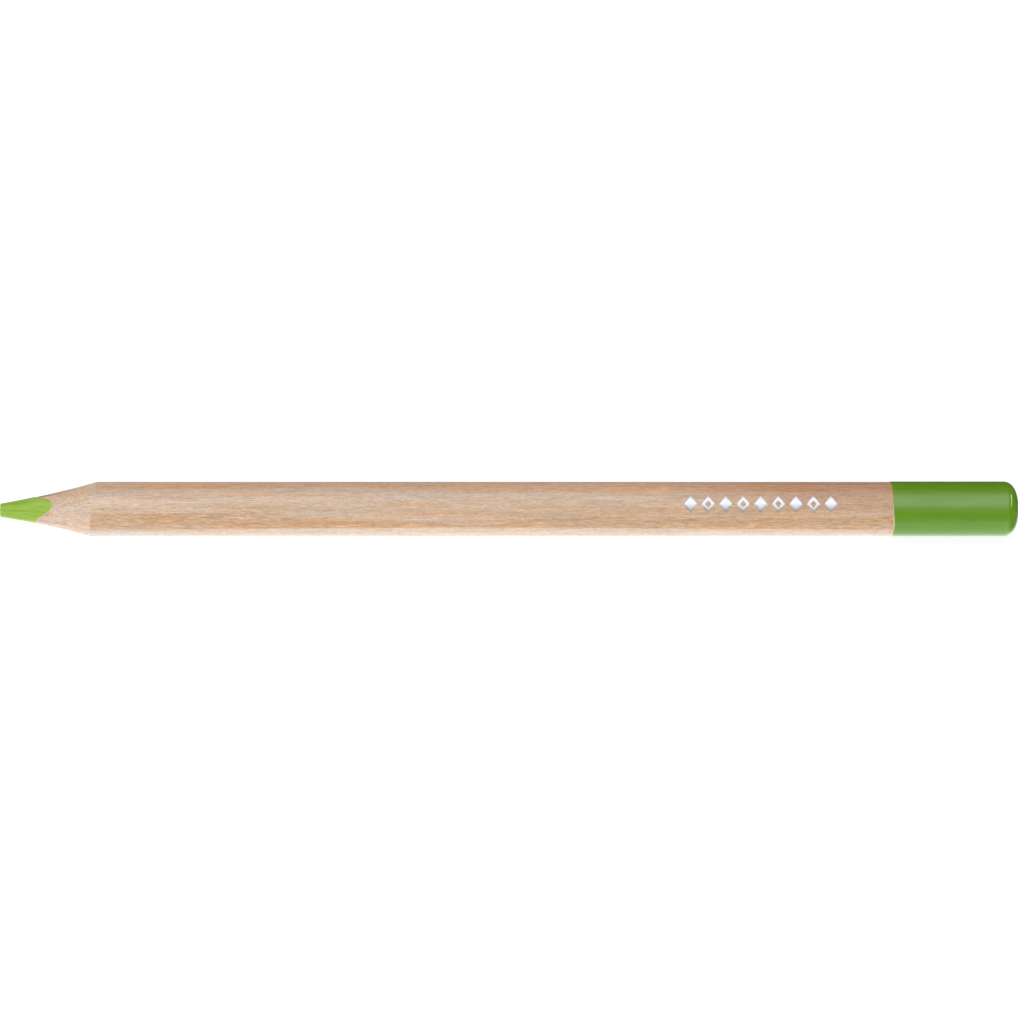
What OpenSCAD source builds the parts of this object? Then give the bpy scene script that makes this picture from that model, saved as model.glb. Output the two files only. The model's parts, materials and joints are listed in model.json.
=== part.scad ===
// Jumbo colouring pencil: a round barrel glued up from two grooved wooden slats around a thick
// coloured core, ground to a blunt point at one end and dipped in lacquer at the other.
// X runs along the pencil with the point towards -X. The pencil lies on the plane z = 0, and the
// origin is under the middle of its length. The stamped ornament faces -Y and up.

/* [Barrel] */
// Overall length, from the blunt tip to the end of the dipped dome
length = 175; // [120:1:200]
// Diameter of the varnished barrel
barrel_d = 9.3; // [8:0.1:12]
// Thickness of the clear varnish on the barrel
varnish_t = 0.05; // [0.04:0.01:0.1]

/* [Slats and glue] */
// Height of the glued seam between the slats above the barrel's axis
seam_rise = 0.1; // [-0.3:0.05:0.3]
// Thickness of the glue between the slats
seam_t = 0.08; // [0.04:0.01:0.2]

/* [Core] */
// Diameter of the coloured core
core_d = 4.7; // [3:0.1:6]
// Sideways distance of the core from the barrel's axis, towards the stamped side
core_shift = 0.25; // [0:0.05:0.5]
// Thickness of the glue that fills the groove around the core
core_glue_t = 0.1; // [0.05:0.01:0.2]

/* [Ground cone] */
// Length of the cone, from the tip to the full barrel
cone_len = 16; // [10:0.5:25]
// Diameter of the blunt tip
tip_d = 2.2; // [1:0.1:4]
// Width of the small bevel around the tip
tip_bevel = 0.1; // [0.05:0.01:0.3]
// Gain in radius per millimetre of length, at the tip
tip_slope = 0.16; // [0.1:0.01:0.18]
// Distance of the cone's axis from the barrel's, down and towards the stamped side
cone_shift = 0.17; // [0:0.01:0.3]

/* [Dipped end] */
// Length of the lacquered end, dome included
dip_len = 21.6; // [10:0.1:40]
// Length of the domed part of the end
dome_len = 2.65; // [1:0.05:4]
// Squareness of the dome: 2 is an ellipse, and more is blunter
dome_power = 2.4; // [2:0.1:4]
// Thickness of the first, pale coat
undercoat_t = 0.05; // [0.04:0.01:0.1]
// Thickness of the second, coloured coat
topcoat_t = 0.07; // [0.04:0.01:0.15]
// Width of the first coat that the second leaves bare
undercoat_margin = 0.25; // [0.1:0.05:1]

/* [Foil ornament] */
// Number of lozenges in the row
lozenge_count = 9; // [3:2:11]
// Length of one lozenge along the barrel
lozenge_len = 2.3; // [1:0.1:2.6]
// Height of one lozenge across the barrel
lozenge_h = 3; // [1:0.1:4]
// Distance between neighbouring lozenges' centres
lozenge_pitch = 3; // [2.8:0.1:3.2]
// Size of the opening in every second lozenge, as a share of the lozenge
opening_share = 0.45; // [0.2:0.05:0.7]
// Distance of the row's middle from the middle of the pencil
foil_x = 43; // [20:0.5:45]
// Angle of the ornament above the horizontal
foil_angle = 55; // [30:1:90]
// Thickness of the foil
foil_t = 0.03; // [0.02:0.01:0.05]

/* [Hidden] */
$fn = 96;
CONE_STEPS = 10;
DOME_STEPS = 12;
CONE_REACH = 1.15;         // the cone's outline goes on past the cone, to this many times its length
clear = 1;                 // how far cutting shapes reach past what they cut

barrel_r = barrel_d / 2;
wood_r = barrel_r - varnish_t;
undercoat_r = wood_r + undercoat_t;
topcoat_r = undercoat_r + topcoat_t;
core_r = core_d / 2;
groove_r = core_r + core_glue_t;
tip_r = tip_d / 2;
coats_t = undercoat_t + topcoat_t;
dip_x = length - dip_len;

// The cone is hollow ground: its slope grows steadily from the tip to the barrel.
cone_curve = (barrel_r - tip_r - tip_slope * cone_len) / pow(cone_len, 2);
function cone_r(x) = tip_r + tip_slope * x + cone_curve * pow(x, 2);

// Outline of the dome, from the side of the radius r to the axis.
function dome(r, len) = [
    for (i = [0:DOME_STEPS]) let (a = 90 * i / DOME_STEPS)
        [r * pow(max(cos(a), 0), 2 / dome_power), length - dome_len + len * pow(sin(a), 2 / dome_power)]
];

// The barrel's axis lies along X, starting at the tip.
module along_x() translate([-length / 2, 0, topcoat_r]) rotate([0, 90, 0]) children();

// A rod along the barrel from x = from to the far end, its end domed.
module domed_rod(r, from, coat) {
    along_x()
        rotate_extrude()
            polygon(concat([[0, from], [r, from]], dome(r, dome_len - coat)));
}

// Everything inside the ground surface of the cone.
module ground_space() {
    far_x = cone_len * CONE_REACH;
    outline = [for (i = [1:CONE_STEPS]) let (x = far_x * i / CONE_STEPS) [cone_r(x), x]];
    wide = barrel_r + clear;
    shift = cone_shift * sqrt(0.5);
    translate([0, -shift, -shift])
        along_x()
            rotate_extrude()
                polygon(concat(
                    [[0, 0], [tip_r - tip_bevel, 0], [cone_r(tip_bevel), tip_bevel]],
                    outline,
                    [[wide, far_x], [wide, length + clear], [0, length + clear]]
                ));
}

// The bare pencil, before varnish and lacquer.
module bare_pencil() {
    intersection() {
        domed_rod(wood_r, 0, coats_t);
        ground_space();
    }
}

// A rod centred on the core, over the pencil's whole length.
module core_rod(r) {
    translate([0, -core_shift, seam_rise])
        along_x()
            translate([0, 0, -clear]) cylinder(r = r, h = length + 2 * clear);
}

// The half of the pencil above (side = 1) or below (side = -1) the glue seam.
module half_space(side) {
    h = barrel_d;
    mid = topcoat_r + seam_rise + side * (seam_t + h) / 2;
    translate([0, 0, mid]) cube([length + 2 * clear, 2 * barrel_d, h], center = true);
}

module slat(side) {
    difference() {
        intersection() {
            bare_pencil();
            half_space(side);
        }
        core_rod(groove_r);
    }
}

// The glue between the slats, on the stamped side (side = -1) or the far side (side = 1).
module seam_glue(side) {
    difference() {
        intersection() {
            bare_pencil();
            translate([0, side * barrel_d / 2, topcoat_r + seam_rise])
                cube([length + 2 * clear, barrel_d, seam_t], center = true);
        }
        core_rod(groove_r);
    }
}

module tube(outer_r, inner_r, from, to) {
    along_x() translate([0, 0, from]) difference() {
        cylinder(r = outer_r, h = to - from);
        translate([0, 0, -clear]) cylinder(r = inner_r, h = to - from + 2 * clear);
    }
}

// A film over the dipped end, from the radius inner_r to outer_r.
module dip_coat(outer_r, inner_r, from, outer_coat, inner_coat) {
    difference() {
        domed_rod(outer_r, from, outer_coat);
        domed_rod(inner_r, from - clear, inner_coat);
    }
}

module lozenge(share) {
    a = share * lozenge_len / 2;
    b = share * lozenge_h / 2;
    polygon([[-a, 0], [0, -b], [a, 0], [0, b]]);
}

// The flat pattern: solid and open lozenges in turn.
module lozenge_row() {
    for (i = [0:lozenge_count - 1])
        translate([(i - (lozenge_count - 1) / 2) * lozenge_pitch, 0])
            difference() {
                lozenge(1);
                if (i % 2 == 1) lozenge(opening_share);
            }
}

module upper_slat() { color("#d9b896") slat(1); }

module lower_slat() { color("#ecd6c0") slat(-1); }

module colour_core() {
    color("#9cc850") intersection() {
        bare_pencil();
        core_rod(core_r);
    }
}

module core_glue() {
    color("#c9a878") difference() {
        intersection() {
            bare_pencil();
            core_rod(groove_r);
        }
        core_rod(core_r);
    }
}

module front_seam_glue() { color("#a9805a") seam_glue(-1); }

module rear_seam_glue() { color("#a9805a") seam_glue(1); }

module barrel_varnish() {
    color("#e6c9a8") intersection() {
        tube(barrel_r, wood_r, 0, dip_x - undercoat_margin);
        ground_space();
    }
}

module dip_undercoat() {
    color("#c3cf86")
        dip_coat(undercoat_r, wood_r, dip_x - undercoat_margin, topcoat_t, coats_t);
}

module dip_topcoat() { color("#669a2b") dip_coat(topcoat_r, undercoat_r, dip_x, 0, topcoat_t); }

module foil_lozenges() {
    color("#d9dbe0") intersection() {
        tube(barrel_r + foil_t, barrel_r, cone_len, dip_x - undercoat_margin);
        translate([foil_x, 0, topcoat_r])
            rotate([90 - foil_angle, 0, 0])
                linear_extrude(height = barrel_d) lozenge_row();
    }
}

upper_slat();
lower_slat();
colour_core();
core_glue();
front_seam_glue();
rear_seam_glue();
barrel_varnish();
dip_undercoat();
dip_topcoat();
foil_lozenges();
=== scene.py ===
"""A jumbo colouring pencil lying on a pale floor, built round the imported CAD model.

Shapes are worked out in millimetres, in the frame of the CAD model, and turned into metres when a mesh is
made. X runs along the pencil with the point towards -X. A place on the pencil is given by x and by an angle
round the barrel's axis: 0 degrees faces -Y, 90 faces up and 180 faces +Y.
"""
import json
import math

import bpy
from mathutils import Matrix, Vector, noise


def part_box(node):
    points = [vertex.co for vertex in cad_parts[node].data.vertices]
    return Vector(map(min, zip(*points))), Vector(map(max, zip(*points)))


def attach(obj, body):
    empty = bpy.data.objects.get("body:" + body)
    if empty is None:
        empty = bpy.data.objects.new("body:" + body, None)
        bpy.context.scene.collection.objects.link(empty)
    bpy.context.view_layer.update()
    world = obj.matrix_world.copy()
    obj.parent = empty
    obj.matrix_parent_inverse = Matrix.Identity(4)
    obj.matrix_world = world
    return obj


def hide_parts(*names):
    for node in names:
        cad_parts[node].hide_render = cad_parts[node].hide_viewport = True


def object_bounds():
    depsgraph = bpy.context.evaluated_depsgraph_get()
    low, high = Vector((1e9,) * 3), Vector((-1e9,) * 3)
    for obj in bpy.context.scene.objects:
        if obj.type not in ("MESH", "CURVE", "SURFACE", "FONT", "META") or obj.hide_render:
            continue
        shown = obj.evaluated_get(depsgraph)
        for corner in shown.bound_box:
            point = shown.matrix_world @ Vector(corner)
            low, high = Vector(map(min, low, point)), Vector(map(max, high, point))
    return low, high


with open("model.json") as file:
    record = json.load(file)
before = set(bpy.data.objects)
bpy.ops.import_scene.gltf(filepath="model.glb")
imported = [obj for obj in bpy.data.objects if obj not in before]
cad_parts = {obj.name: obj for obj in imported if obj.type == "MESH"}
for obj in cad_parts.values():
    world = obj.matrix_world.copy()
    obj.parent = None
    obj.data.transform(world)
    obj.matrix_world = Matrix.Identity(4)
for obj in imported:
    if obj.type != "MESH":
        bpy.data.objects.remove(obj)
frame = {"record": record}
cad_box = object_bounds()

MM = 0.001


# ---------------------------------------------------------------- sizes, in mm, from the frame

def box_mm(node):
    """Lowest and highest corner of a CAD node, in mm."""
    low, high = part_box(node)
    return low / MM, high / MM


barrel = frame["record"]["mounts"][0]
AXIS_Z = barrel["pos_m"][2] / MM
BARREL_R = barrel["dims"]["r_mm"]

TIP_X, END_X = cad_box[0].x / MM, cad_box[1].x / MM
dip_low, dip_high = box_mm("dip_topcoat")
DIP_X = dip_low.x
DIP_R = min((dip_high.y - dip_low.y) / 2, dip_high.z - AXIS_Z)
seam_low, seam_high = box_mm("front_seam_glue")
SEAM_RISE = (seam_low.z + seam_high.z) / 2 - AXIS_Z
foil_low, foil_high = box_mm("foil_lozenges")
core_low, core_high = box_mm("colour_core")
CORE_R = (core_high.z - core_low.z) / 2
CORE_SHIFT = ((core_low.y + core_high.y) / 2, (core_low.z + core_high.z) / 2 - AXIS_Z)


# ---------------------------------------------------------------- sizes, in mm, that the frame doesn't hold

HAIR = 0.004                        # the least thickness, and the least distance between two pieces
VARNISH_T = 0.05
WOOD_R = BARREL_R - VARNISH_T       # bare wood, under the lacquer
BARE_FROM, BARE_TO = DIP_X + 0.3, DIP_X + 0.5       # where the varnish ends, under the lacquer
EDGE_BLEND = 0.05                   # how widely the edge between cone and barrel is rounded

SEAM_GAP = 0.065                    # what shows of the glue between the slats
GAP_VARIES = 0.35                   # share of that gap by which it varies along the barrel
GAP_ADDED = 1.8                     # share of that gap which is added on the cone, close to the core
SEAM_DRIFT = 0.12                   # how far the seam wanders up and down along the barrel
SEAM_BOW = 0.48                     # how far it bows down towards the ends
BOW_LEN = 70                        # distance from the middle of the pencil at which it is bowed that far
GLUE_SUNK = 0.006                   # the glue line lies this far below the wood

CONE_LEN = 16                       # from the tip to the full barrel
TIP_R = 1.1
TIP_SLOPE = 0.16                    # gain in radius per mm of length, at the tip
TIP_BEVEL = 0.04
CONE_SHIFT = (-0.12, -0.12)         # the cone's axis from the barrel's, in y and z
TIP_DROOP = 0.4                     # share of that shift that is added at the very tip
CONE_CURVE = (BARREL_R - TIP_R - TIP_SLOPE * CONE_LEN) / CONE_LEN ** 2

LEAD_EDGE_R = 2.225                 # radius at which the wood ends on the cone
LOBE_RISE = 0.65                    # more on one side, where the core runs out of true
LOBE_ANGLE = 62
LOBE_WIDTHS = (45, 34)              # below and above that angle, in degrees
LOBE_POWER = 2.25
CORE_PROUD = 0.05                   # the hard core stands out a little from the ground wood
NOTCH_DEPTH = 0.08                  # the one darkened nick in the wood's edge, along the cone
NOTCH_ANGLE, NOTCH_WIDTH = 22, 2.4  # where that is and how wide, in degrees
NOTCH_DARKENING = (0.7, 0.3)             # mm behind the edge to where its darkening reaches, and is full
CORE_END_GAP = 0.5                  # between the core's hidden end and the end of the pencil
GLUE_RIM = 0.02                     # thickness of the glue that shows between the core and the wood
GLUE_T = 0.095                      # thickness of the hidden glue in the groove
GROOVE_R = CORE_R + 0.1             # of the groove in the slats, with room for the glue
GROOVE_TRUE = 6                     # mm behind the wood's edge at which the groove has that radius
CORE_TRUE = (TIP_X + 8, TIP_X + 14)     # where the core's side turns from its bared edge to its true radius

DIP_TILT = 0.19                     # how much nearer the tip the lacquer's edge is on top; twice that behind
DIP_LAG = 0.18                      # how far the edge hangs back, low on the front
LAG_ANGLE, LAG_WIDTH = 12, 20       # where that is and how wide, in degrees
DOME_LEN = 2.65
DOME_POWER = 2.4                    # squareness of the dome: 2 is an ellipse, and more is blunter
WOOD_INSET = 0.12                   # the wood's dome lies this far inside the lacquer's

AROUND = 192                        # columns round the whole pencil
FACE_ANGLE = 45                     # the side that the camera looks at


# ---------------------------------------------------------------- curves

def direction(angle):
    """Unit vector (y, z) at an angle round the axis, in degrees."""
    a = math.radians(angle)
    return -math.cos(a), math.sin(a)


def point(x, r, angle):
    """A place on the pencil, in metres."""
    y, z = direction(angle)
    return Vector((x, r * y, AXIS_Z + r * z)) * MM


def radius_about(angle, shift, r):
    """Distance from the barrel's axis to a circle of radius r round a shifted centre."""
    y, z = direction(angle)
    along = shift[0] * y + shift[1] * z
    return along + math.sqrt(r * r - shift[0] ** 2 - shift[1] ** 2 + along * along)


def cone_radius(x):
    """Radius of the ground surface about the cone's own axis."""
    t = x - TIP_X
    return TIP_R + TIP_SLOPE * t + CONE_CURVE * t * t


def cone_x(r):
    """Where the ground surface has radius r about its own axis."""
    root = math.sqrt(TIP_SLOPE ** 2 + 4 * CONE_CURVE * (r - TIP_R))
    return TIP_X + (root - TIP_SLOPE) / (2 * CONE_CURVE)


def cone_shift(x):
    """Shift of the cone's axis at x: the tip droops a little more than the rest."""
    droop = 1 + TIP_DROOP * (1 - smooth_step(0, 6, x - TIP_X))
    return CONE_SHIFT[0] * droop, CONE_SHIFT[1] * droop


def ground_radius(x, angle):
    """Radius of the ground surface about the barrel's axis."""
    return radius_about(angle, cone_shift(x), cone_radius(x))


def barrel_edge_x(angle):
    """Where the cone meets the barrel."""
    y, z = direction(angle)
    return cone_x(math.hypot(BARREL_R * y - CONE_SHIFT[0], BARREL_R * z - CONE_SHIFT[1]))


def smooth_min(a, b, width):
    """The smaller of two numbers, rounded off where they are within width of each other."""
    h = max(width - abs(a - b), 0) / width
    return min(a, b) - h * h * width / 4


def smooth_step(low, high, x):
    """From 0 at low to 1 at high, which may also be the smaller of the two."""
    t = min(max((x - low) / (high - low), 0), 1)
    return t * t * (3 - 2 * t)


def round_noise(angle, detail, seed):
    """Noise round the pencil that meets itself after a full turn, from -1 to 1."""
    y, z = direction(angle)
    return noise.noise(Vector((y * detail, z * detail, seed * 7.3)))


def turn_between(angle, other):
    """Angle less another, from -180 to 180 degrees."""
    return (angle - other + 180) % 360 - 180


def lobe(angle):
    """From 0 to 1, where the core shows furthest up the cone."""
    off = turn_between(angle, LOBE_ANGLE)
    width = LOBE_WIDTHS[0] if off < 0 else LOBE_WIDTHS[1]
    return math.exp(-(abs(off) / width) ** LOBE_POWER)


def lead_edge_radius(angle):
    """Radius about the cone's axis at which the coloured core gives way to wood."""
    ragged = 0.03 * round_noise(angle, 5, 1) + 0.012 * round_noise(angle, 17, 2)
    return LEAD_EDGE_R + LOBE_RISE * lobe(angle) + ragged


def notch(angle):
    """From 0 to 1 in the middle of the one darkened nick in the wood's edge."""
    return math.exp(-((angle - NOTCH_ANGLE) / NOTCH_WIDTH) ** 2)


def chips(angle):
    """How far the wood's feather edge is broken back, in mm along the cone."""
    bites = max(round_noise(angle, 11, 3) - 0.15, 0) * 0.5
    splinters = abs(round_noise(angle, 34, 4)) * 0.16
    return bites + splinters + NOTCH_DEPTH * notch(angle)


def core_side_radius(angle):
    """Radius of the core's side about the barrel's axis, where the wood lets it show."""
    return radius_about(angle, CONE_SHIFT, lead_edge_radius(angle))


def wood_front_x(angle, rim=0):
    """Where the wood's front edge is: behind the core's edge by the glue rim and the chips."""
    return cone_x(lead_edge_radius(angle) + rim) + chips(angle)


def dome_radius(x, r, inset=0):
    """Radius of the domed end at x, for a side of radius r whose end is set in by inset."""
    t = (x - (END_X - DOME_LEN)) / (DOME_LEN - inset)
    if t <= 0:
        return r
    return r * max(1 - min(t, 1) ** DOME_POWER, 0) ** (1 / DOME_POWER)


def dome_stations(inset, steps):
    """Places along the dome that are evenly spread round its curve."""
    start = END_X - DOME_LEN
    turns = [90 * (i + 1) / steps for i in range(steps)]
    return [start + (DOME_LEN - inset) * math.sin(math.radians(a)) ** (2 / DOME_POWER) for a in turns]


def seam_height(x):
    """Height of the seam's middle above the barrel's axis: it bows and wanders a little."""
    wander = math.sin(x / 31 + 2.2) * 0.7 + math.sin(x / 13 + 2) * 0.3
    bow = SEAM_BOW * min(abs(x) / BOW_LEN, 1) ** 2
    return SEAM_RISE - bow + SEAM_DRIFT * wander * smooth_step(TIP_X + 2, TIP_X + 20, x)


def seam_gap(x):
    """Width of the glue line at x: it shows most on the cone, close to the core."""
    varies = GAP_VARIES * noise.noise(Vector((x * 0.31, 0, 5)))
    on_cone = GAP_ADDED * smooth_step(14, 9, x - TIP_X)
    return SEAM_GAP * (1 + varies + on_cone)


# ---------------------------------------------------------------- meshes

def make_piece(name, points, faces, material, slot, sharp_angle=35):
    """A closed mesh that rides on the pencil, with edges over sharp_angle left sharp."""
    mesh = bpy.data.meshes.new(name)
    mesh.from_pydata(points, [], faces)
    mesh.validate()
    for polygon in mesh.polygons:
        polygon.use_smooth = True
    mesh.set_sharp_from_angle(angle=math.radians(sharp_angle))
    piece = bpy.data.objects.new(name, mesh)
    bpy.context.scene.collection.objects.link(piece)
    for m in material if isinstance(material, list) else [material]:
        mesh.materials.append(m)
    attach(piece, "root")
    return piece


def angles_round(columns):
    """Angles evenly spread round the pencil."""
    return [360 * i / columns for i in range(columns)]


def flipped(faces):
    """The same faces, seen from the other side."""
    return [tuple(reversed(face)) for face in faces]


def loop_faces(rows, columns):
    """Faces between rings of points, each ring closed on itself."""
    faces = []
    for j in range(rows - 1):
        for i in range(columns):
            k = (i + 1) % columns
            faces.append((j * columns + i, (j + 1) * columns + i, (j + 1) * columns + k, j * columns + k))
    return faces


def turned_mesh(rings, columns):
    """A closed surface from rings of (x, r), each a function of the angle, capped by a point at each end.

    The first and last entries are the x of the two end points on the axis.
    """
    points = []
    for ring in rings[1:-1]:
        points += [point(*ring(a), a) for a in angles_round(columns)]
    rows = len(rings) - 2
    faces = loop_faces(rows, columns)
    first, last = len(points), len(points) + 1
    points += [point(rings[0], 0, 0), point(rings[-1], 0, 0)]
    for i in range(columns):
        k = (i + 1) % columns
        faces.append((first, i, k))
        faces.append((last, (rows - 1) * columns + k, (rows - 1) * columns + i))
    return points, faces


def fixed_ring(x, r):
    """A ring for turned_mesh that is a true circle round the barrel's axis."""
    return lambda angle: (x, r)


# ---------------------------------------------------------------- the slats

CONE_ROWS = 27                      # rows of points along the cone, closer together near the core
EDGE_ROWS = (-0.18, -0.1, -0.05, 0, 0.05, 0.1, 0.18, 0.3)   # mm from the edge of the cone
BARREL_ROWS = 90
DOME_ROWS, DOME_ROWS_USED = 12, 9   # the slats end flat, hidden in the lacquer's dome
PAINTED_SHADE_RISE, PAINTED_SHADE_FALL = (98, 114), (152, 130)   # degrees over which the painted shade along the top of the cone begins and ends
PAINTED_SHADE_LEN = 8                      # mm up the cone to where the painted shade has faded


def slat_surface_radius(x, angle):
    """Outer radius of the wood at x: cone, barrel with its varnish, then bare wood under the lacquer."""
    side = BARREL_R - (BARREL_R - WOOD_R) * smooth_step(BARE_FROM, BARE_TO, x)
    ground = ground_radius(min(x, TIP_X + CONE_LEN * 1.4), angle)
    return min(smooth_min(side, ground, EDGE_BLEND), dome_radius(x, side, WOOD_INSET))


def slat_stations(angle):
    """Places along one column of a slat, from its feather edge on the cone to the domed end."""
    front, edge = wood_front_x(angle, GLUE_RIM), barrel_edge_x(angle)
    beside = EDGE_ROWS[-1]
    cone = [front + (edge - beside - front) * (i / (CONE_ROWS - 1)) ** 1.2 for i in range(CONE_ROWS)]
    rounding = [edge + d for d in EDGE_ROWS]
    side_len = BARE_FROM - edge - beside
    side = [edge + beside + side_len * (i + 1) / BARREL_ROWS for i in range(BARREL_ROWS)]
    under = [BARE_TO, DIP_X + 8, END_X - DOME_LEN]
    return cone + rounding + side + under + dome_stations(WOOD_INSET, DOME_ROWS)[:DOME_ROWS_USED]


def seam_angle(x, r, side, rear):
    """Angle at which a slat's flat side meets the radius r."""
    height = seam_height(x) + side * seam_gap(x) / 2
    a = math.degrees(math.asin(height / r))
    return 180 - a if rear else a


def slat_angle(x, r, side, share):
    """Angle of a column of a slat: share runs from 0 at the front seam to 1 at the rear one."""
    front, rear = seam_angle(x, r, side, False), seam_angle(x, r, side, True)
    if side < 0:
        rear -= 360
    return front + (rear - front) * share


def slat_mesh(side):
    """The upper (side = 1) or lower (side = -1) half of the barrel, with its groove for the core.

    Gives the points, the faces and the number of points in a row round the slat.
    """
    half = AROUND // 2
    shares = [i / half for i in range(half + 1)]
    columns = []
    for share in shares:
        nominal = slat_angle(0, BARREL_R, side, share)
        outer, inner = [], []
        for x in slat_stations(nominal):
            angle, r = nominal, BARREL_R
            for _ in range(3):      # the angle and the radius depend on each other, and soon agree
                r = slat_surface_radius(x, angle)
                angle = slat_angle(x, r, side, share)
            outer.append((x, r, angle))
            hidden = smooth_step(0, GROOVE_TRUE, x - wood_front_x(nominal))
            groove = radius_about(nominal, CORE_SHIFT, GROOVE_R)
            bare = core_side_radius(nominal) + GLUE_RIM
            inner_r = min(bare + (groove - bare) * hidden, r - HAIR)
            inner.append((x, inner_r, slat_angle(x, inner_r, side, share)))
        columns.append((outer, inner))
    rows = len(columns[0][0])
    points = []
    for j in range(rows):
        ring = [outer[j] for outer, _ in columns] + [inner[j] for _, inner in reversed(columns)]
        points += [point(*p) for p in ring]
    around = 2 * len(columns)
    faces = loop_faces(rows, around)
    for end in (0, rows - 1):
        base = end * around
        for i in range(half):
            a, b = base + i, base + i + 1
            c, d = base + around - 2 - i, base + around - 1 - i
            faces.append((a, b, c, d) if end == 0 else (d, c, b, a))
    if side < 0:
        faces = flipped(faces)
    return points, faces, around


def slat(name, side, materials):
    """One slat, with varnished wood on the barrel (first material) and raw wood on the cone (second).

    Two attributes tell the raw wood how far each point is behind the wood's edge, and how much painted shade
    (along the top of the cone) and darkening (in the nick) it takes.
    """
    points, faces, around = slat_mesh(side)
    piece = make_piece(name, points, faces, materials, "pale_wood")
    raw_rows = CONE_ROWS + EDGE_ROWS.index(0)
    for polygon in piece.data.polygons:
        row = min(v // around for v in polygon.vertices)
        polygon.material_index = 1 if row < raw_rows else 0
    edge = piece.data.attributes.new("behind_edge", "FLOAT", "POINT")
    smudge = piece.data.attributes.new("smudge", "FLOAT", "POINT")
    for i, vertex in enumerate(piece.data.vertices):
        first = piece.data.vertices[i % around]
        behind = (vertex.co.x - first.co.x) / MM
        angle = math.degrees(math.atan2(vertex.co.z / MM - AXIS_Z, -vertex.co.y / MM)) % 360
        # Painted shade along the top of the cone, over the angles that face up and back, fading up the cone;
        # and a darker mark in the nick.
        over_angles = smooth_step(*PAINTED_SHADE_RISE, angle) * smooth_step(*PAINTED_SHADE_FALL, angle)
        in_notch = notch(angle) * smooth_step(*NOTCH_DARKENING, behind)
        edge.data[i].value = behind
        smudge.data[i].value = max(over_angles * smooth_step(PAINTED_SHADE_LEN, 0, behind), in_notch)
    return piece


# ---------------------------------------------------------------- the core and its glue

def colour_core(material):
    """The core: blunt tip with a small bevel, ground cone, then its side, which runs on inside the wood."""
    def tip(angle):
        flat = radius_about(angle, cone_shift(TIP_X), TIP_R + CORE_PROUD - TIP_BEVEL)
        return TIP_X, flat + 0.015 * round_noise(angle, 3, 6) + 0.006 * round_noise(angle, 14, 7)

    def bevel(angle):
        x = TIP_X + TIP_BEVEL * (1 + 0.6 * round_noise(angle, 4, 8))
        return x, ground_radius(x, angle) + CORE_PROUD

    def ground(share):
        def ring(angle):
            start, end = TIP_X + 0.15, cone_x(lead_edge_radius(angle)) - 0.01
            x = start + (end - start) * share
            return x, ground_radius(x, angle) + CORE_PROUD * smooth_step(0, 0.5, end - x)
        return ring

    def bared(distance):
        def ring(angle):
            return cone_x(lead_edge_radius(angle)) + distance, core_side_radius(angle)
        return ring

    def inside(x):
        def ring(angle):
            side = radius_about(angle, CORE_SHIFT, CORE_R)
            bare = core_side_radius(angle)
            return x, bare + (side - bare) * smooth_step(*CORE_TRUE, x)
        return ring

    ground_rows = 26
    end = END_X - CORE_END_GAP
    rings = [TIP_X, fixed_ring(TIP_X, TIP_R * 0.5), tip, bevel]
    rings += [ground(i / ground_rows) for i in range(ground_rows + 1)]
    rings += [bared(d) for d in (0.02, 0.1, 0.3, 0.6, 1, 1.6)]
    rings += [inside(TIP_X + x) for x in (12.5, 14, 20, 60, 110)]
    rings += [inside(end), end]
    return make_piece("core_rod", *turned_mesh(rings, AROUND), material, "wax_core")


def core_glue(material):
    """The glue round the core, which shows as a thin rim between the core and the wood."""
    def rim(share, lift):
        def ring(angle):
            x = cone_x(lead_edge_radius(angle) + GLUE_RIM * share) + chips(angle) * 0.55
            return x, min(core_side_radius(angle) + GLUE_RIM * share + lift, ground_radius(x, angle))
        return ring

    def sleeve(x, outer):
        def ring(angle):
            side = radius_about(angle, CORE_SHIFT, CORE_R + (GLUE_T if outer else HAIR))
            bare = core_side_radius(angle) + (GLUE_RIM - HAIR if outer else HAIR)
            return x, bare + (side - bare) * smooth_step(*CORE_TRUE, x)
        return ring

    places = [TIP_X + x for x in (13.5, 16, 40, 100)] + [END_X - 1.5]
    rings = [rim(0.05, 0), rim(0.5, 0), rim(1, -HAIR)]
    rings += [sleeve(x, True) for x in places] + [sleeve(x, False) for x in reversed(places)]
    points = [point(*ring(a), a) for ring in rings for a in angles_round(AROUND)]
    faces = loop_faces(len(rings), AROUND)
    last = (len(rings) - 1) * AROUND
    for i in range(AROUND):
        k = (i + 1) % AROUND
        faces.append((last + i, i, k, last + k))
    return make_piece("core_glue_sleeve", points, faces, material, "wood_glue")


# ---------------------------------------------------------------- the glue between the slats

def seam_glue(name, rear, material):
    """A thin strip of glue from the groove to the surface, a hair below the wood."""
    edge_angle, out = (180, 1) if rear else (0, -1)
    rings = []
    for x in slat_stations(edge_angle):
        surface = slat_surface_radius(x, edge_angle) - GLUE_SUNK
        thinnest = surface - 0.02
        inner = min(radius_about(edge_angle, CORE_SHIFT, GROOVE_R), thinnest)
        bare = min(core_side_radius(edge_angle) + GLUE_RIM, thinnest)
        hidden = smooth_step(0, GROOVE_TRUE, x - wood_front_x(edge_angle))
        inner = inner + (bare - inner) * (1 - hidden)
        height, gap = seam_height(x), seam_gap(x)
        ring = []
        for r, z in ((surface, gap / 2), (surface, -gap / 2), (inner, -gap / 2), (inner, gap / 2)):
            h = height + z
            y = math.sqrt(max(r * r - h * h, 0.01))
            ring.append(Vector((x, out * y, AXIS_Z + h)) * MM)
        rings.append(ring)
    points = [p for ring in rings for p in ring]
    faces = loop_faces(len(rings), 4)
    last = 4 * (len(rings) - 1)
    faces += [(0, 1, 2, 3), (last + 3, last + 2, last + 1, last)]
    if not rear:
        faces = flipped(faces)
    return make_piece(name, points, faces, material, "wood_glue")


# ---------------------------------------------------------------- the dipped end

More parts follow.
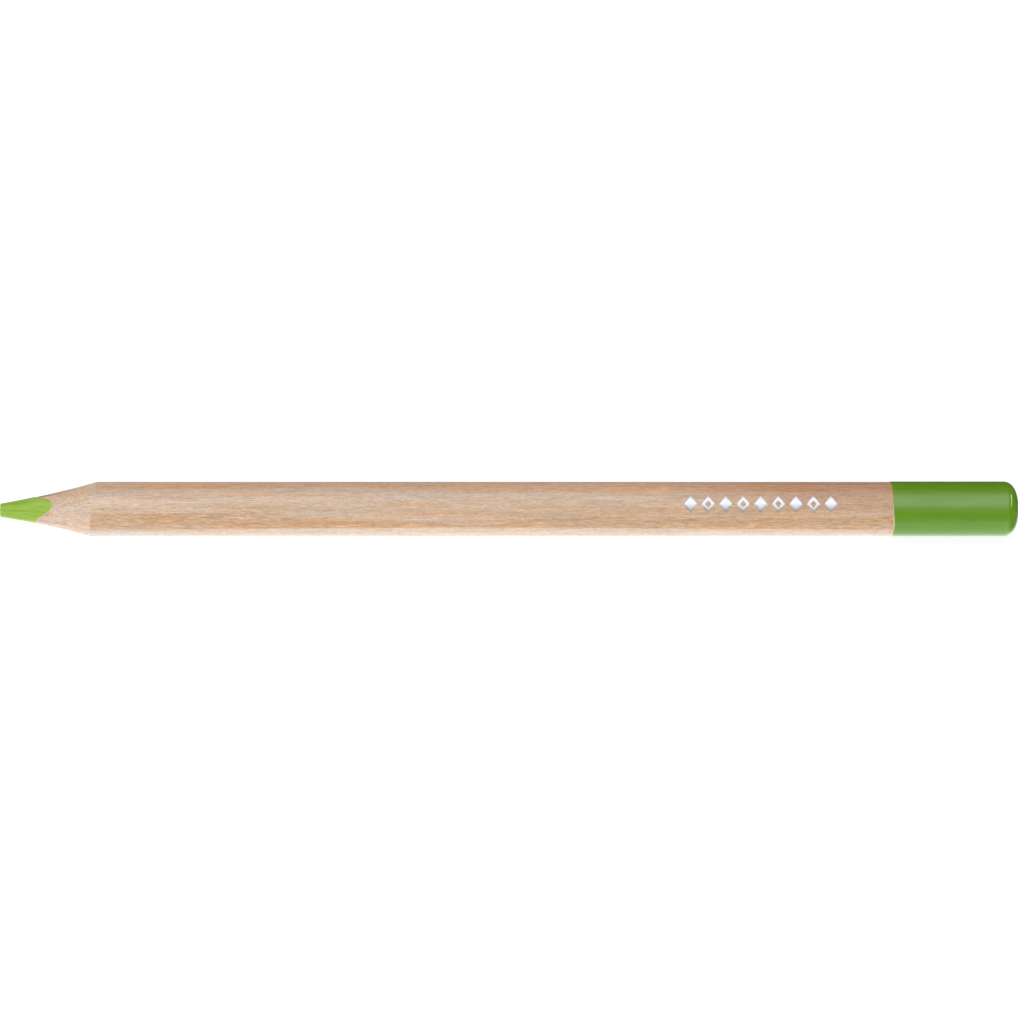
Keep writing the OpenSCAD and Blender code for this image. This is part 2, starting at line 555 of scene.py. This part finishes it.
def dip_line(angle):
    """Front edge of the green lacquer: nearly square to the barrel, with the slight wave of a dip."""
    tilt = DIP_TILT * (math.cos(math.radians(angle)) - 1)
    lag = DIP_LAG * math.exp(-(turn_between(angle, LAG_ANGLE) / LAG_WIDTH) ** 2)
    return DIP_X - 0.06 + tilt + lag + 0.05 * round_noise(angle, 1.6, 9)


def undercoat_line(angle):
    """Front edge of the first coat, which shows only on the lower side."""
    shown = smooth_step(75, 30, angle if angle < 180 else angle - 360)
    return dip_line(angle) + 0.15 - shown * (0.36 + 0.08 * round_noise(angle, 4, 10))


def coat(name, line, top_r, base_r, inner_r, edge_len, inset, material, slot):
    """A closed film over the end: the dome, the side, a rounded front edge, and back along the inside.

    The edge starts at the radius base_r and rises to top_r over edge_len. The whole film is set in from the
    pencil's end by inset.
    """
    def edge(share):
        rise = math.sqrt(1 - (1 - share) ** 2)

        def ring(angle):
            return line(angle) + edge_len * share, base_r + (top_r - base_r) * rise
        return ring

    def skin(r, depth, dome_rows):
        side_start, side_end, side_rows = DIP_X + 1, END_X - DOME_LEN, 14
        side = [side_start + (side_end - side_start) * i / side_rows for i in range(side_rows + 1)]
        dome = dome_stations(depth, dome_rows)[:-1]
        return [fixed_ring(x, r) for x in side] + [fixed_ring(x, dome_radius(x, r, depth)) for x in dome]

    inner_inset = inset + top_r - inner_r
    rings = [END_X - inset] + skin(top_r, inset, 40)[::-1]
    rings += [edge(share) for share in (1, 0.7, 0.45, 0.25, 0.1, 0.02)]
    rings += [lambda angle: (line(angle) + edge_len, inner_r)]
    rings += skin(inner_r, inner_inset, 20) + [END_X - inner_inset]
    points, faces = turned_mesh(rings, AROUND)
    return make_piece(name, points, flipped(faces), material, slot)


# ---------------------------------------------------------------- the stamped ornament

LOZENGES = 9
LOZENGE_LEN, LOZENGE_H = 2.3, 3.0
OPENING_SHARE = 0.45
FOIL_ANGLE = 55                     # of the row's middle
FOIL_T = 0.022
FOIL_ROOT = -0.02                   # its underside is pressed this far into the wood
FOIL_ROUNDING = 0.025               # width of its rounded edge, as a share of the lozenge


def lozenge_outline(share, per_side=6):
    """Points round a lozenge, counter-clockwise, as (along, across)."""
    corners = [(-1, 0), (0, -1), (1, 0), (0, 1)]
    outline = []
    for i, (ax, ay) in enumerate(corners):
        bx, by = corners[(i + 1) % 4]
        for k in range(per_side):
            t = k / per_side
            outline.append((share * LOZENGE_LEN / 2 * (ax + (bx - ax) * t),
                            share * LOZENGE_H / 2 * (ay + (by - ay) * t)))
    return outline


def foil_point(x, across, lift):
    """A place on the ornament: across is the distance up round the barrel from the row's middle."""
    angle = FOIL_ANGLE + math.degrees(math.asin(across / BARREL_R))
    return point(x, BARREL_R + lift, angle)


def foil_lozenges(material):
    """A row of lozenges, solid and open in turn, pressed on the barrel with softly rounded edges."""
    points, faces = [], []
    pitch = (foil_high.x - foil_low.x - LOZENGE_LEN) / (LOZENGES - 1)
    for n in range(LOZENGES):
        centre = foil_low.x + LOZENGE_LEN / 2 + n * pitch
        inner_share = OPENING_SHARE if n % 2 else 0.0
        loops = [(1, FOIL_ROOT), (1, FOIL_T / 2), (1 - FOIL_ROUNDING, FOIL_T)]
        loops.append(((1 + inner_share) / 2, FOIL_T))
        if inner_share:
            loops += [(inner_share + FOIL_ROUNDING, FOIL_T), (inner_share, FOIL_T / 2)]
            loops.append((inner_share, FOIL_ROOT))
        base = len(points)
        count = len(lozenge_outline(1))
        for share, lift in loops:
            points += [foil_point(centre + a, b, lift) for a, b in lozenge_outline(share)]
        faces += [tuple(base + v for v in face) for face in flipped(loop_faces(len(loops), count))]
        last = base + (len(loops) - 1) * count
        if inner_share:
            for i in range(count):
                k = (i + 1) % count
                faces.append((base + i, last + i, last + k, base + k))
        else:
            top = len(points)
            points.append(foil_point(centre, 0, FOIL_T))
            faces += [(top, last + i, last + (i + 1) % count) for i in range(count)]
            faces.append(tuple(base + i for i in reversed(range(count))))
    return make_piece("foil_lozenge_row", points, faces, material, "silver_foil", 60)


# ---------------------------------------------------------------- materials

class Nodes:
    """A short way to write a node tree."""

    def __init__(self, tree):
        self.tree = tree

    def add(self, kind, inputs=None, **settings):
        """A new node. An input is a socket to link from, or a value to set."""
        node = self.tree.nodes.new(kind)
        for key, value in settings.items():
            setattr(node, key, value)
        for key, value in (inputs or {}).items():
            if isinstance(value, bpy.types.NodeSocket):
                self.tree.links.new(value, node.inputs[key])
            else:
                node.inputs[key].default_value = value
        return node

    def position(self):
        """X, Y and Z in mm."""
        return self.add("ShaderNodeSeparateXYZ", {"Vector": self.place((1, 1, 1))}).outputs

    def place(self, stretch):
        """Object coordinates in mm, times a stretch along each axis."""
        coords = self.add("ShaderNodeTexCoord").outputs["Object"]
        scale = tuple(s / MM for s in stretch)
        return self.add("ShaderNodeMapping", {"Vector": coords, "Scale": scale}).outputs["Vector"]

    def noise_at(self, place, detail, roughness=0.5):
        return self.add("ShaderNodeTexNoise", {
            "Vector": place, "Scale": 1.0, "Detail": detail, "Roughness": roughness,
        }).outputs["Fac"]

    def noise(self, stretch, detail=2.0, roughness=0.5):
        """Noise whose grains are about 1 / stretch mm long on each axis."""
        return self.noise_at(self.place(stretch), detail, roughness)

    def ramp(self, value, stops):
        """Value to colour: stops are (place, colour)."""
        node = self.add("ShaderNodeValToRGB", {"Fac": value})
        elements = node.color_ramp.elements
        elements.remove(elements[1])
        for i, (place, colour) in enumerate(stops):
            stop = elements.new(place) if i else elements[0]
            stop.position = place
            stop.color = (*colour, 1)
        return node.outputs["Color"]

    def span(self, value, low, high, to_low=0.0, to_high=1.0):
        """Value from the range low..high to the range to_low..to_high, clamped."""
        node = self.add("ShaderNodeMapRange", {
            "Value": value, "From Min": low, "From Max": high, "To Min": to_low, "To Max": to_high,
        })
        return node.outputs["Result"]

    def math(self, operation, a, b):
        return self.add("ShaderNodeMath", {0: a, 1: b}, operation=operation).outputs[0]

    def mix(self, share, a, b, blend="MIX"):
        """From colour a to colour b by share, or by another kind of blend."""
        node = self.add("ShaderNodeMix", data_type="RGBA", blend_type=blend)
        for key, value in ((0, share), (6, a), (7, b)):
            if isinstance(value, bpy.types.NodeSocket):
                self.tree.links.new(value, node.inputs[key])
            else:
                node.inputs[key].default_value = value if key == 0 else (*value, 1)
        return node.outputs[2]

    def times(self, colour, factor):
        """A colour times one factor for each of red, green and blue."""
        return self.mix(1, colour, factor, "MULTIPLY")

    def tint(self, colour, value, low, high):
        """Multiply a colour by low or high, or what is between, as the value goes through 0.3 to 0.7."""
        return self.times(colour, self.ramp(value, [(0.3, low), (0.7, high)]))

    def bump(self, height, distance_mm, strength=1.0):
        """A normal for a relief of that height."""
        inputs = {"Height": height, "Distance": distance_mm * MM, "Strength": strength}
        return self.add("ShaderNodeBump", inputs).outputs["Normal"]


class Surface(Nodes):
    """A material's node tree, which ends in its shader."""

    def __init__(self, name):
        self.material = bpy.data.materials.new(name)
        self.material.use_nodes = True
        super().__init__(self.material.node_tree)
        self.shader = self.tree.nodes["Principled BSDF"]

    def finish(self, **inputs):
        """Set or link the shader's own sockets."""
        for key, value in inputs.items():
            socket = self.shader.inputs[key.replace("_", " ")]
            if isinstance(value, bpy.types.NodeSocket):
                self.tree.links.new(value, socket)
            else:
                socket.default_value = value
        return self.material


def srgb(r, g, b):
    """A colour given as 0 to 255 screen values, as the linear numbers that Blender takes."""
    linear = []
    for c in (r, g, b):
        c /= 255
        linear.append(c / 12.92 if c <= 0.04045 else ((c + 0.055) / 1.055) ** 2.4)
    return tuple(linear)


def grain_bands(n, bands, wander):
    """Growth bands as planes square to Y: a colour for each y, with the planes wandering a little."""
    y = n.position()["Y"]
    drift = n.span(n.noise(wander, 2), 0.2, 0.8, -0.9, 0.9)
    place = n.span(n.math("ADD", y, drift), -BARREL_R, BARREL_R)
    return n.ramp(place, [((y + BARREL_R) / (2 * BARREL_R), colour) for y, colour in bands])


def wood_grain(n, bands, wander):
    """Wood cut along the grain: bands, streaks, fibres and dark pores. Gives its colour and relief."""
    colour = grain_bands(n, bands, wander)
    blue = n.add("ShaderNodeSeparateColor", {"Color": colour}).outputs["Blue"]
    dark_band = n.span(blue, 0.44, 0.33)
    streaks = n.noise((0.05, 1.4, 1.4), 3, 0.6)
    threads = n.noise((0.16, 3.6, 3.6), 2, 0.6)
    fibres = n.noise((0.6, 3.8, 3.8), 3, 0.65)
    grit = n.noise((1.6, 4.5, 4.5), 2)
    warmth = n.noise((0.07, 1.0, 1.0), 2)
    pores = n.span(n.noise((0.45, 6.5, 6.5), 1), 0.62, 0.74)
    colour = n.tint(colour, streaks, (0.9, 0.88, 0.84), (1.04, 1.05, 1.07))
    colour = n.tint(colour, threads, (0.93, 0.9, 0.86), (1.05, 1.07, 1.1))
    colour = n.tint(colour, fibres, (0.86, 0.82, 0.77), (1.08, 1.1, 1.13))
    colour = n.tint(colour, grit, (0.91, 0.88, 0.85), (1.05, 1.08, 1.11))
    colour = n.tint(colour, warmth, (1.05, 0.96, 0.84), (0.97, 1.01, 1.08))
    flecks = n.noise((0.5, 3.2, 4.5), 3, 0.7)
    late_wood = n.tint(colour, flecks, (0.79, 0.72, 0.62), (1.24, 1.3, 1.38))
    colour = n.mix(dark_band, colour, late_wood)
    colour = n.mix(n.math("MULTIPLY", pores, 0.35), colour, srgb(150, 104, 72))
    relief = n.math("SUBTRACT", n.math("MULTIPLY", fibres, 0.6), pores)
    return colour, relief


# Growth bands, as (y in mm, colour): of the barrel under its varnish and of the cone, upper and lower slat.
UPPER_BANDS = [(-4.6, srgb(225, 187, 151)), (-4.2, srgb(226, 189, 155)), (-3.8, srgb(234, 204, 178)),
               (-3.0, srgb(235, 205, 177)), (-1.9, srgb(238, 213, 193)), (-0.7, srgb(237, 207, 184)),
               (0.5, srgb(238, 196, 161)), (1.5, srgb(237, 200, 172)), (2.4, srgb(232, 199, 176)),
               (4.2, srgb(232, 203, 176))]
LOWER_BANDS = [(-4.5, srgb(241, 215, 192)), (-2, srgb(240, 216, 194)), (1, srgb(243, 217, 193)),
               (4, srgb(234, 206, 180))]
UPPER_CONE_BANDS = [(-4, srgb(249, 224, 204)), (-3, srgb(251, 230, 213)), (-1.6, srgb(249, 224, 203)),
                    (0, srgb(244, 214, 190)), (3, srgb(246, 220, 196))]
LOWER_CONE_BANDS = [(-4.5, srgb(250, 232, 218)), (0, srgb(249, 230, 214)), (4, srgb(248, 228, 210))]
# How quickly they wander along each axis
UPPER_WANDER, LOWER_WANDER = (0.02, 0.3, 0.3), (0.016, 0.22, 0.34)


def varnished_wood(name, bands, wander):
    """Wood under a thin satin varnish.

    Its tone changes slowly: the top is darker and redder towards the dipped end, the flanks are palest near
    the cone, and the underside is paler than the rest.
    """
    n = Surface(name)
    colour, relief = wood_grain(n, bands, wander)
    x, _, height = n.position()

    near_dip = n.span(x, DIP_X - 42, DIP_X - 16)
    on_top = n.span(height, AXIS_Z + 2.4, AXIS_Z + 4.4)
    reddish = n.times(colour, (0.82, 0.71, 0.64))
    colour = n.mix(n.math("MULTIPLY", near_dip, on_top), colour, reddish)

    from_cone = n.span(x, TIP_X + 25, TIP_X + 105)
    above_seam = n.span(height, AXIS_Z + 1, AXIS_Z + 2)
    below_top = n.span(height, AXIS_Z + 4.5, AXIS_Z + 4.1)
    pale, deep = n.times(colour, (1.05, 1.08, 1.11)), n.times(colour, (0.96, 0.94, 0.9))
    on_flank = n.math("MULTIPLY", above_seam, below_top)
    colour = n.mix(on_flank, colour, n.mix(from_cone, pale, deep))

    underside = n.span(height, AXIS_Z - 0.5, AXIS_Z - 1.9)
    colour = n.mix(underside, colour, n.times(colour, (1.0, 1.1, 1.22)))
    normal = n.bump(relief, 0.006, 0.6)
    rough = n.span(n.noise((0.1, 4, 4), 2), 0.3, 0.7, 0.5, 0.62)
    return n.finish(Base_Color=colour, Roughness=rough, Normal=normal, Specular_IOR_Level=0.45,
                    Coat_Weight=0.2, Coat_Roughness=0.35, Coat_IOR=1.5)


def raw_wood(name, bands, wander):
    """Freshly ground wood: the same grain, paler and matt, with fine rings, painted shade along the top edge
    of the cone and a darker mark in the nick.
    """
    n = Surface(name)
    colour, relief = wood_grain(n, bands, wander)
    behind = n.add("ShaderNodeAttribute", attribute_name="behind_edge").outputs["Fac"]
    speckle = n.noise((1.2, 4.5, 4.5), 2)
    near = n.math("MULTIPLY", n.span(behind, 0.0, 2.2, 1.0, 0.0), n.span(speckle, 0.4, 0.6))
    colour = n.mix(n.math("MULTIPLY", near, 0.55), colour, srgb(240, 188, 170))
    stain = n.math("MULTIPLY", n.span(behind, 0.0, 0.3, 1.0, 0.0), n.span(speckle, 0.35, 0.6, 0.3, 1.0))
    colour = n.mix(n.math("MULTIPLY", stain, 0.3), colour, srgb(222, 212, 150))
    # Painted shade along the top edge of the cone, and the darker mark in the nick, both in a speckled dull
    # brown.
    smudge = n.add("ShaderNodeAttribute", attribute_name="smudge").outputs["Fac"]
    shade_and_nick_share = n.math("MULTIPLY", smudge, n.span(speckle, 0.35, 0.6, 0.45, 0.8))
    colour = n.mix(shade_and_nick_share, colour, srgb(144, 124, 90))
    scratches = n.noise((9, 0.5, 0.5), 2, 0.6)
    colour = n.tint(colour, scratches, (0.94, 0.93, 0.91), (1, 1, 1))
    rough = n.math("ADD", relief, n.math("ADD", scratches, n.noise((4, 9, 9), 2)))
    normal = n.bump(rough, 0.006, 0.6)
    return n.finish(Base_Color=colour, Roughness=0.78, Normal=normal, Specular_IOR_Level=0.3)


def wax_core(name):
    """Waxy coloured core: streaks along the cone, plain mottling on the flat tip, pits and a soft sheen."""
    n = Surface(name)
    across = n.add("ShaderNodeVectorMath", {0: n.place((0, 1, 1)), 1: (0, 0, AXIS_Z)}, operation="SUBTRACT")
    turn = n.add("ShaderNodeVectorMath", {0: across.outputs[0]}, operation="NORMALIZE").outputs[0]
    streak_place = n.add("ShaderNodeVectorMath", {0: turn, 1: (3, 3, 3), 2: n.place((0.18, 0, 0))},
                         operation="MULTIPLY_ADD").outputs[0]
    streaks = n.noise_at(streak_place, 3.0)
    x = n.position()["X"]
    streaks = n.span(x, TIP_X + 0.02, TIP_X + 0.12, n.noise((1.5, 1.5, 1.5), 3), streaks)
    pits = n.noise((1.8, 4, 4), 2)
    colour = n.ramp(streaks, [
        (0.34, srgb(152, 197, 50)), (0.5, srgb(166, 207, 70)), (0.68, srgb(184, 214, 108)),
    ])
    colour = n.tint(colour, pits, (1, 1, 1), (0.94, 0.95, 0.88))
    height = n.math("SUBTRACT", n.math("MULTIPLY", streaks, 1.2), n.span(pits, 0.55, 0.7))
    normal = n.bump(height, 0.015, 0.5)
    rough = n.span(streaks, 0.3, 0.7, 0.5, 0.38)
    return n.finish(Base_Color=colour, Roughness=rough, Normal=normal, Specular_IOR_Level=0.35,
                    Subsurface_Weight=0.06, Subsurface_Radius=(0.4, 0.6, 0.15), Subsurface_Scale=0.001)


def dry_glue(name, dark, pale):
    """Dried glue, stained by the wood."""
    n = Surface(name)
    tone = n.noise((0.4, 3, 3), 3, 0.6)
    colour = n.ramp(tone, [(0.35, dark), (0.65, pale)])
    normal = n.bump(n.noise((2, 8, 8), 2), 0.01, 0.5)
    return n.finish(Base_Color=colour, Roughness=0.6, Normal=normal)


def lacquer(name, colour, deep, roughness):
    """Dipped lacquer: glossy, with a faint flow pattern and the wood's grain just showing through."""
    n = Surface(name)
    flow = n.noise((0.12, 0.5, 0.5), 2)
    grain = n.noise((0.06, 2.4, 2.4), 2)
    tone = n.mix(n.span(flow, 0.3, 0.7), colour, deep)
    height = n.math("ADD", n.math("MULTIPLY", grain, 0.5), flow)
    normal = n.bump(height, 0.02, 0.25)
    rough = n.span(n.noise((0.8, 1.5, 1.5), 2), 0.3, 0.7, roughness, roughness + 0.05)
    return n.finish(Base_Color=tone, Roughness=rough, Normal=normal, Specular_IOR_Level=0.5,
                    Coat_Weight=0.3, Coat_Roughness=0.06, Coat_IOR=1.5)


def stamped_foil(name):
    """Hot-stamped silver foil, with the wood's fibres pressed through it."""
    n = Surface(name)
    fibres = n.noise((0.2, 8, 8), 2, 0.6)
    worn = n.noise((1.6, 5, 5), 3, 0.65)
    colour = n.ramp(worn, [(0.3, srgb(196, 199, 207)), (0.7, srgb(226, 228, 234))])
    normal = n.bump(fibres, 0.006, 0.6)
    rough = n.span(worn, 0.35, 0.7, 0.42, 0.55)
    return n.finish(Base_Color=colour, Metallic=1.0, Roughness=rough, Normal=normal)


# ---------------------------------------------------------------- the pencil

upper_barrel = varnished_wood("upper_barrel_wood", UPPER_BANDS, UPPER_WANDER)
lower_barrel = varnished_wood("lower_barrel_wood", LOWER_BANDS, LOWER_WANDER)
upper_cone = raw_wood("upper_cone_wood", UPPER_CONE_BANDS, UPPER_WANDER)
lower_cone = raw_wood("lower_cone_wood", LOWER_CONE_BANDS, LOWER_WANDER)
seam_line_glue = dry_glue("seam_glue", srgb(184, 140, 104), srgb(222, 184, 150))
rim_glue = dry_glue("rim_glue", srgb(226, 198, 160), srgb(244, 220, 190))

upper = slat("wood_upper_slat", 1, [upper_barrel, upper_cone])
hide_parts("upper_slat", "barrel_varnish")
lower = slat("wood_lower_slat", -1, [lower_barrel, lower_cone])
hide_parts("lower_slat")

core = colour_core(wax_core("green_wax"))
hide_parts("colour_core")
rim = core_glue(rim_glue)
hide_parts("core_glue")
front_seam = seam_glue("front_glue_line", False, seam_line_glue)
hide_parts("front_seam_glue")
rear_seam = seam_glue("rear_glue_line", True, seam_line_glue)
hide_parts("rear_seam_glue")

GREEN, DEEP_GREEN = srgb(110, 161, 30), srgb(102, 153, 26)
PALE_GREEN, DEEP_PALE = srgb(230, 214, 155), srgb(220, 204, 142)
undercoat = coat("lacquer_undercoat", undercoat_line, top_r=BARREL_R + 2 * HAIR, base_r=BARREL_R - HAIR,
                 inner_r=WOOD_R + HAIR, edge_len=0.08, inset=0.06,
                 material=lacquer("pale_lacquer", PALE_GREEN, DEEP_PALE, 0.3), slot="pale_lacquer")
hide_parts("dip_undercoat")
topcoat = coat("lacquer_topcoat", dip_line, top_r=DIP_R, base_r=BARREL_R - HAIR,
               inner_r=BARREL_R + 3 * HAIR, edge_len=0.22, inset=0,
               material=lacquer("green_lacquer", GREEN, DEEP_GREEN, 0.16), slot="green_lacquer")
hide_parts("dip_topcoat")
foil = foil_lozenges(stamped_foil("silver_foil"))
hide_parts("foil_lozenges")


# ---------------------------------------------------------------- floor, light and camera

FLOOR_GLOW = 1.0                    # the floor is lit from below as well, as a light table is
FLOOR_SHADE = 0.5                   # how much of the light from above it gives back
SEEN_GLOW, SEEN_SHADE = 0.9, 0.18   # the same as the camera sees them: just white, so edges stay crisp
FLOOR_HALF, FLOOR_STEPS = 3.0, 12   # in metres, and squares along each side

# Brightness of the room at each elevation, seen square to the pencil: degrees up from the horizon in front,
# over the top (90) and down to the horizon behind (180). The rest is below the floor: only gloss shows it.
ROOM = [(-90, 1.3), (-20, 1.15), (-6, 0.6), (10, 0.17), (30, 0.32), (45, 0.65), (56, 1.5), (66, 2.15),
        (95, 1.9), (106, 1.45), (118, 0.62), (132, 0.26), (142, 0.06), (220, 0.08), (230, 0.65),
        (242, 1.35), (255, 1.4), (270, 1.3)]
BRIGHTEST = 2.3                     # what 1 stands for in the colour ramp that holds them

# Share of that brightness by how far a direction leans towards one of the pencil's ends, from 0 to 1.
ROOM_ENDS = [(0, 0.8), (0.2, 0.8), (0.3, 0.95), (0.42, 0.8), (0.55, 0.35), (0.68, 0.04), (1, 0.04)]
MIDDLE_SHARE = ROOM_ENDS[0][1]

STRIP_PLACE, STRIP_AIM = (0.74, 0.08, 0.4), (0.08, 0, 0)
STRIP_SIZE, STRIP_RADIANCE = (0.6, 0.12), 8

CAMERA_DISTANCE = 0.7
PICTURE_WIDTH = 1.001               # as a share of the pencil's length
AIM_LEFT, AIM_LOW = 0.05, 0.02      # mm to the left of the middle and below the barrel's axis


def floor():
    """A wide pale floor, flat under the pencil."""
    row = FLOOR_STEPS + 1
    places = [FLOOR_HALF * (2 * i / FLOOR_STEPS - 1) for i in range(row)]
    points = [(x, y, 0) for y in places for x in places]
    faces = [(j * row + i, j * row + i + 1, (j + 1) * row + i + 1, (j + 1) * row + i)
             for j in range(FLOOR_STEPS) for i in range(FLOOR_STEPS)]
    mesh = bpy.data.meshes.new("floor")
    mesh.from_pydata(points, [], faces)
    n = Surface("floor_paint")
    seen = n.add("ShaderNodeLightPath").outputs["Is Camera Ray"]
    shade = n.mix(seen, (FLOOR_SHADE,) * 3, (SEEN_SHADE,) * 3)
    glow = n.span(seen, 0, 1, FLOOR_GLOW, SEEN_GLOW)
    mesh.materials.append(n.finish(Base_Color=shade, Roughness=0.9, Specular_IOR_Level=0.1,
                                   Emission_Color=(1, 1, 1, 1), Emission_Strength=glow))
    sheet = bpy.data.objects.new("floor", mesh)
    sheet.visible_glossy = False
    bpy.context.scene.collection.objects.link(sheet)


def softbox(name, place, aim, size, radiance):
    """A rectangular lamp that shows only as a highlight. Its radiance is the brightness of its face."""
    lamp = bpy.data.lights.new(name, "AREA")
    lamp.shape = "RECTANGLE"
    lamp.size, lamp.size_y = size
    lamp.energy = radiance * math.pi * size[0] * size[1]
    made = bpy.data.objects.new(name, lamp)
    made.location = place
    made.rotation_euler = (Vector(aim) - Vector(place)).to_track_quat("-Z", "Y").to_euler()
    made.visible_diffuse = False
    bpy.context.scene.collection.objects.link(made)


def studio_world():
    """Soft light from the room, as ROOM gives it, and plain white to the camera."""
    world = bpy.data.worlds.new("studio")
    bpy.context.scene.world = world
    world.use_nodes = True
    n = Nodes(world.node_tree)

    def grey_ramp(value, stops):
        return n.ramp(value, [(place, (grey, grey, grey)) for place, grey in stops])

    toward = n.add("ShaderNodeTexCoord").outputs["Generated"]
    x, y, z = n.add("ShaderNodeSeparateXYZ", {0: toward}).outputs
    turn = n.span(n.math("ARCTAN2", y, z), -math.pi, math.pi)
    around = grey_ramp(turn, [((elevation + 90) / 360, light / BRIGHTEST) for elevation, light in ROOM])
    side = n.add("ShaderNodeMath", {0: x}, operation="ABSOLUTE").outputs[0]
    room = n.math("MULTIPLY", around, grey_ramp(side, ROOM_ENDS))
    room = n.math("MULTIPLY", room, BRIGHTEST / MIDDLE_SHARE)
    seen = n.add("ShaderNodeLightPath").outputs["Is Camera Ray"]
    light = n.add("ShaderNodeMix", {0: seen, 2: room, 3: 1.0}).outputs[0]
    background = n.tree.nodes["Background"]
    background.inputs["Color"].default_value = (1, 1, 1, 1)
    n.tree.links.new(light, background.inputs["Strength"])


def camera(distance, elevation, width):
    """Looks along +Y and down on the middle of the pencil, which fills the width of the picture."""
    cam = bpy.data.objects.new("camera", bpy.data.cameras.new("camera"))
    aim = Vector(((cad_box[0].x + cad_box[1].x) / 2 - AIM_LEFT * MM, 0, (AXIS_Z - AIM_LOW) * MM))
    e = math.radians(elevation)
    cam.location = aim + Vector((0, -math.cos(e), math.sin(e))) * distance
    cam.rotation_euler = (aim - cam.location).to_track_quat("-Z", "Y").to_euler()
    cam.data.lens = cam.data.sensor_width * distance / width
    cam.data.clip_start = 0.01
    bpy.context.scene.collection.objects.link(cam)
    bpy.context.scene.camera = cam


floor()
softbox("side_strip", STRIP_PLACE, STRIP_AIM, STRIP_SIZE, STRIP_RADIANCE)
studio_world()
camera(CAMERA_DISTANCE, FACE_ANGLE, (END_X - TIP_X) * MM * PICTURE_WIDTH)
bpy.context.scene.view_settings.view_transform = "Standard"
